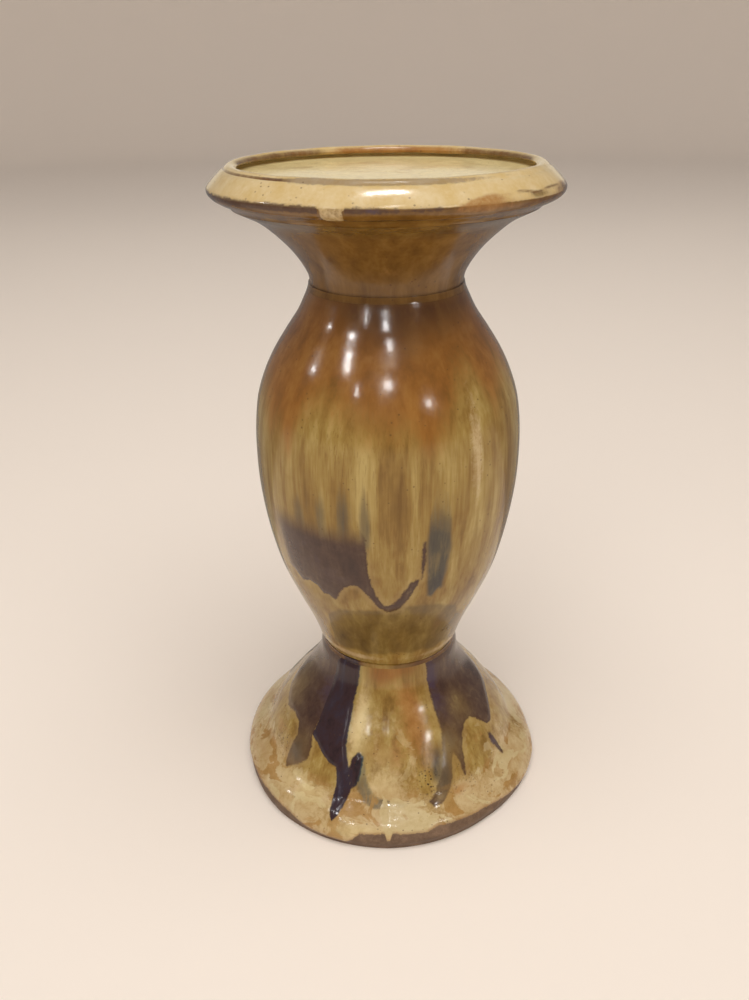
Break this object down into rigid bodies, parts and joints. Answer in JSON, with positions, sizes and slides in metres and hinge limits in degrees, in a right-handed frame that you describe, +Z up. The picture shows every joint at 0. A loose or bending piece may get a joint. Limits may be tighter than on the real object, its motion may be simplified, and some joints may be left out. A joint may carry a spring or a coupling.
{
  "type": "ceramic pillar candle holder",
  "caption": "Hollow glazed pottery pillar-candle stand: bell foot with a thick brim, baluster body, trumpet neck and a shallow dish with a rolled candle ring.",
  "frame": {"origin": "centre of the flat ring the foot stands on, at table height", "axes": "+Z up along the turning axis, towards the candle dish; the stand is turned, so +X and +Y are free, and -Y is the side that faced the viewer"},
  "size_m": [0.1448, 0.1448, 0.2802],
  "materials": {
    "foot_glaze": "gloss drip glaze in ochre and cream with dark purple and blue-grey runs",
    "waist_slip": "brown glaze pooled in the joint",
    "body_glaze": "gloss streaked amber to ochre glaze",
    "neck_slip": "brown glaze pooled in the joint",
    "neck_glaze": "gloss olive-amber glaze",
    "dish_slip": "brown glaze over the joint",
    "dish_glaze": "gloss cream-yellow glaze, brown where it runs thin"
  },
  "bodies": {
    "root": {"foot_bell": "foot_glaze", "waist_slip_ring": "waist_slip", "baluster_body": "body_glaze", "neck_slip_ring": "neck_slip", "neck_trumpet": "neck_glaze", "dish_slip_ring": "dish_slip", "candle_dish": "dish_glaze"}
  },
  "joints": []
}
